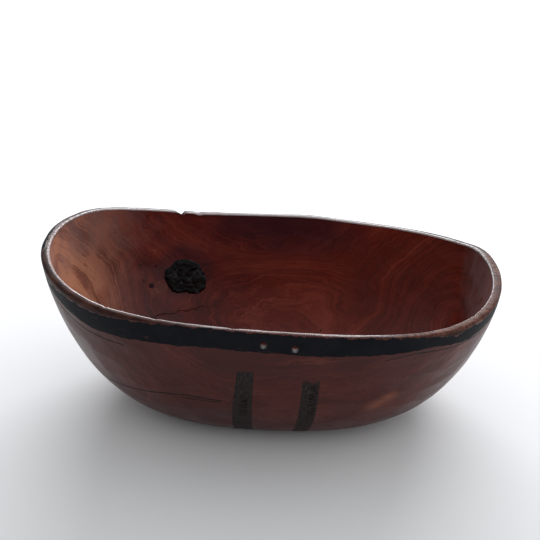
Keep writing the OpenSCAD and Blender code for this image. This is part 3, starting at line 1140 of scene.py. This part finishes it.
    def _cutters(self) -> bpy.types.Object:
        """Returns everything that is cut out of the block, as one object."""
        form = self.form
        past = form.wall_end + form.wall_side
        made = []
        for x, drop in self.cord_holes:
            at, way = form.on_wall(x, 0, Skin.OUTER, True, drop)
            level = Vector((way.x, way.y, self.cord_hole_rise)).normalized()
            made.append(self._drill(at, level, self.cord_hole_d, past, 48))
        for x, z in (*self.borers, self.lone_borer):
            at, way = form.on_wall(x, z, Skin.INNER, False)
            made.append(self._drill(at, way, self.borer_d, self.borer_depth, 20))
        dab = BorerDab(form=form)
        at, way = form.on_wall(dab.x, dab.z, Skin.INNER, False)
        made.append(self._drill(at, way, dab.diameter, self.borer_depth, 32))
        made.append(self._chip())
        made.append(KnotPlug(form=form).hole_cutter())
        for i, piece in enumerate(made):
            # The cord holes' bores are marked for near white, painted light falling through them.
            self._plain(piece.data, 1.0 if i < len(self.cord_holes) else 0.0)
        deselect_all()
        for piece in made:
            piece.select_set(True)
        bpy.context.view_layer.objects.active = made[0]
        bpy.ops.object.join()
        return made[0]

    def _cut(self, body: bpy.types.Object, cutters: bpy.types.Object) -> None:
        """Cuts the cutters out of the body and removes them."""
        deselect_all()
        bpy.context.view_layer.objects.active = body
        body.select_set(True)
        cut = body.modifiers.new("holes", "BOOLEAN")
        cut.operation = "DIFFERENCE"
        cut.solver = "MANIFOLD"
        cut.object = cutters
        bpy.ops.object.modifier_apply(modifier=cut.name)
        bpy.data.objects.remove(cutters)

    def dress(self, piece: bpy.types.Object) -> None:
        """Gives the body its wood."""
        paint(piece, WoodFinish().material())


# ------------------------------------------------------------------ pitch


@dataclass
class KnotPlug:
    """Lump of pitch that fills the knot hole in the back wall.

    Its spread inside the bowl is (angle in degrees, reach in millimetres).
    """

    form: BowlForm = field(default_factory=BowlForm)
    x: float = -0.108
    z: float = 0.073
    length: float = 0.046
    width: float = 0.037
    proud: float = 0.0024
    shift: tuple[float, float] = (-0.0009, -0.0008)
    segments: int = 160
    rings: int = 96
    spread: tuple = (
        (-4, 22), (24, 26), (40, 20), (75, 21), (122, 17.5), (165, 21), (215, 27), (240, 25.5),
        (272, 17.5), (318, 22.5), (356, 22),
    )

    def radius(self, a: float) -> float:
        """Returns the lobed outline's radius, about one unit, at an angle."""
        return (
            0.93
            + 0.07 * math.cos(3 * a + math.radians(20))
            + 0.05 * math.cos(5 * a - math.radians(40))
            - 0.04 * math.cos(2 * a)
        )

    def hole_cutter(self) -> bpy.types.Object:
        """Returns the cutter for the knot hole, with its lobed outline."""
        cutter = added(bpy.ops.mesh.primitive_cylinder_add, vertices=96, radius=1.0, depth=0.031)
        for v in cutter.data.vertices:
            a = math.atan2(v.co.y, v.co.x)
            v.co.x = self.radius(a) * self.length / 2 * math.cos(a)
            v.co.y = self.radius(a) * self.width / 2 * math.sin(a)
        at, way = self.form.on_wall(self.x, self.z, Skin.INNER, front=False)
        settle(cutter, facing(at, way))
        return cutter

    def build(self) -> bpy.types.Object:
        """Returns the pitch: a ball pressed into the hole, lumpy inside and flush outside."""
        form = self.form
        at, way = form.on_wall(self.x, self.z, Skin.INNER, front=False)
        frame = facing(at, way)
        ball = bpy.ops.mesh.primitive_uv_sphere_add
        lump = added(ball, segments=self.segments, ring_count=self.rings, radius=1.0)
        back = frame.inverted()
        outer = self._depths(back, Skin.OUTER)
        inner = self._depths(back, Skin.INNER)
        table = np.array(self.spread)
        for v in lump.data.vertices:
            a = math.atan2(v.co.y, v.co.x)
            share = min(1.0, math.hypot(v.co.x, v.co.y) * 1.0001)
            rho = math.sin(share * math.pi / 2) ** 0.8 if share < 1 else 1.0
            inside = v.co.z < 0.001
            way_x, way_y = self.length / 2 * math.cos(a), self.width / 2 * math.sin(a)
            if inside:
                real = math.atan2(way_y, way_x)
                reach = float(np.interp(math.degrees(real) % 360, table[:, 0], table[:, 1])) * MM
                jag = 0.0012 * noise.noise(Vector((6 * math.cos(a), 6 * math.sin(a), 0)))
                fit = 1.05 * max(self.radius(a) * 1.02, (reach + jag) / math.hypot(way_x, way_y))
                px, py = rho * fit * way_x + self.shift[0], rho * fit * way_y + self.shift[1]
                tall = self._depth_at(inner, px, py) - self._lumps(px, py, rho)
            else:
                fit = self.radius(a) * 0.985
                px, py = rho * fit * way_x, rho * fit * way_y
                tall = self._depth_at(outer, px, py) - 0.0004 * (1 - rho) - 0.0002
            v.co = (px, py, tall)
        settle(lump, frame)
        recalculate_outwards(lump)
        return finish_off(lump, "knot_pitch", 60)

    def _depths(self, back: Matrix, side: Skin) -> np.ndarray:
        """Returns a quadratic that gives a skin's depth over the knot, in the knot's own frame."""
        form = self.form
        middle = math.atan2(0.11 / form.width, self.x / form.length)
        t, g = np.meshgrid(
            middle + np.radians(np.linspace(-16, 16, 33)),
            np.radians(np.linspace(40, 80, 41)),
            indexing="ij",
        )
        points = form.skin(t, g, side).reshape(-1, 3)
        turn = np.array(back)
        local = points @ turn[:3, :3].T + turn[:3, 3]
        near = np.hypot(local[:, 0], local[:, 1]) < 0.036
        u, v, w = local[near].T
        terms = np.stack([np.ones_like(u), u, v, u * u, u * v, v * v, u**3, v**3], axis=1)
        return np.linalg.lstsq(terms, w, rcond=None)[0]

    @staticmethod
    def _depth_at(fit: np.ndarray, u: float, v: float) -> float:
        """Returns a skin's depth at a place in the knot's frame."""
        return float(np.dot(fit, [1, u, v, u * u, u * v, v * v, u**3, v**3]))

    def _lumps(self, u: float, v: float, rho: float) -> float:
        """Returns how far the broken face of the pitch stands out of the wall at a place."""
        spot = Vector((u / 0.0100, v / 0.0085, 1.7))
        distances, _ = noise.voronoi(spot)
        facet = min(1.0, (distances[1] - distances[0]) * 1.6)
        coarse = noise.noise(Vector((u / 0.014, v / 0.012, 4.2)))
        fine = noise.noise(Vector((u / 0.0035, v / 0.0035, 8.8)))
        body = 0.62 + 0.40 * coarse + 0.26 * (facet - 0.5) + 0.10 * fine
        edge = max(0.0, 1 - rho**9)
        return self.proud * body * edge - 0.0009 * (1 - edge)

    def dress(self, piece: bpy.types.Object) -> None:
        """Gives the lump its pitch."""
        paint(piece, PitchFinish().material())


@dataclass
class BorerDab:
    """Dab of pitch in the largest borer hole."""

    form: BowlForm = field(default_factory=BowlForm)
    x: float = -0.142
    z: float = 0.069
    diameter: float = 0.0054
    depth: float = 0.0039
    proud: float = 0.0006

    def build(self) -> bpy.types.Object:
        """Returns the dab: a ball drawn into a plug with a smeared head."""
        at, way = self.form.on_wall(self.x, self.z, Skin.INNER, front=False)
        dab = added(bpy.ops.mesh.primitive_uv_sphere_add, segments=48, ring_count=28, radius=1.0)
        for v in dab.data.vertices:
            a = math.atan2(v.co.y, v.co.x)
            reach = self.diameter / 2
            if v.co.z < 0:
                lobes = 0.10 * math.cos(2 * a - 0.6) + 0.16 * math.cos(5 * a + 0.8)
                jag = 0.10 * noise.noise(Vector((3 * math.cos(a), 3 * math.sin(a), 0)))
                reach *= 1.14 + lobes + jag
                tall = self.proud * (1 + 0.35 * noise.noise(v.co * 3.0))
            else:
                reach *= 0.97
                tall = self.depth
            v.co = (v.co.x * reach, v.co.y * reach, v.co.z * tall)
        settle(dab, facing(at, way))
        recalculate_outwards(dab)
        return finish_off(dab, "borer_pitch", 60)

    def dress(self, piece: bpy.types.Object) -> None:
        """Gives the dab its pitch."""
        finish = PitchFinish("purple_pitch", (0.0170, 0.0050, 0.0100), (0.0330, 0.0110, 0.0160), 0.5)
        paint(piece, finish.material())


# ------------------------------------------------------------------ studio


@dataclass(frozen=True)
class Studio:
    """Pale floor, one soft window behind the bowl, a dim room and the camera."""

    camera_at: tuple[float, float, float] = (0.08218, -0.94837, 0.62520)
    camera_back: tuple[float, float, float] = (0.07761, -0.88711, 0.45500)
    lens: float = 70.43
    floor_size: float = 14.0
    floor_colour: Colour = (0.86, 0.86, 0.86)
    room_colour: Colour = (0.96, 0.98, 1.0)
    window_at: tuple[float, float, float] = (0.20, 2.30, 1.30)
    window_aim: tuple[float, float, float] = (0.0, 0.0, 0.08)
    window_size: tuple[float, float] = (2.6, 0.8)
    window_watts: float = 85.0
    window_colour: Colour = (0.94, 0.97, 1.0)

    def build(self) -> None:
        """Sets the whole studio up."""
        self._floor()
        self._world()
        self._window()
        self._camera()
        bpy.context.scene.view_settings.view_transform = "Standard"

    def _floor(self) -> None:
        """Lays the pale floor."""
        floor = added(bpy.ops.mesh.primitive_plane_add, size=self.floor_size)
        floor.name = "studio_floor"
        material, b = new_material("pale_floor")
        b.put_out(b.surface(self.floor_colour, 0.9, 0.1))
        paint(floor, material)

    def _world(self) -> None:
        """Makes a room that is pale behind and to the right of the bowl and dim in front of it."""
        world = bpy.data.worlds.new("room")
        bpy.context.scene.world = world
        world.use_nodes = True
        b = Bench(world.node_tree)
        x, y, _ = b.parts(b.node("ShaderNodeTexCoord").outputs["Generated"])
        strength = 0.38 + y.rise(-0.7, 0.8) * 0.50 + x.rise(0.1, 0.9) * 0.62
        glow = b.node("ShaderNodeBackground", None, {"Color": self.room_colour, "Strength": strength})
        b.node("ShaderNodeOutputWorld", None, {"Surface": glow.outputs[0]})

    def _window(self) -> None:
        """Hangs one rectangular sheet of light behind the bowl, facing it."""
        lamp = bpy.data.lights.new("back_window", "AREA")
        lamp.shape = "RECTANGLE"
        lamp.size, lamp.size_y = self.window_size
        lamp.energy = self.window_watts
        lamp.color = self.window_colour
        hung = bpy.data.objects.new("back_window", lamp)
        bpy.context.scene.collection.objects.link(hung)
        hung.location = self.window_at
        faces = Vector(self.window_aim) - Vector(self.window_at)
        hung.rotation_euler = faces.to_track_quat("-Z", "Y").to_euler()

    def _camera(self) -> None:
        """Places the camera."""
        lens = bpy.data.cameras.new("camera")
        lens.lens = self.lens
        lens.sensor_width = 36.0
        lens.clip_start, lens.clip_end = 0.01, 50.0
        camera = bpy.data.objects.new("camera", lens)
        bpy.context.scene.collection.objects.link(camera)
        camera.location = self.camera_at
        camera.rotation_euler = (-Vector(self.camera_back)).to_track_quat("-Z", "Y").to_euler()
        bpy.context.scene.camera = camera


# ------------------------------------------------------------------ the whole


def main() -> None:
    """Builds the bowl piece by piece around the CAD frame."""
    logging.basicConfig(level=logging.INFO, format="%(name)s: %(message)s")
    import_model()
    form = BowlForm()
    for maker, node, slot in (
        (CarvedBody(form=form), "bowl_body", "wood"),
        (KnotPlug(form=form), "knot_plug", "pitch"),
        (BorerDab(form=form), "borer_plug", "pitch"),
    ):
        piece = maker.build()
        maker.dress(piece)
        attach(piece, "root")
        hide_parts(node)
        faces = sum(len(p.vertices) - 2 for p in piece.data.polygons)
        LOG.info("%s stands for %s: %d triangles", piece.name, node, faces)
    Studio().build()


if __name__ == "__main__":
    main()
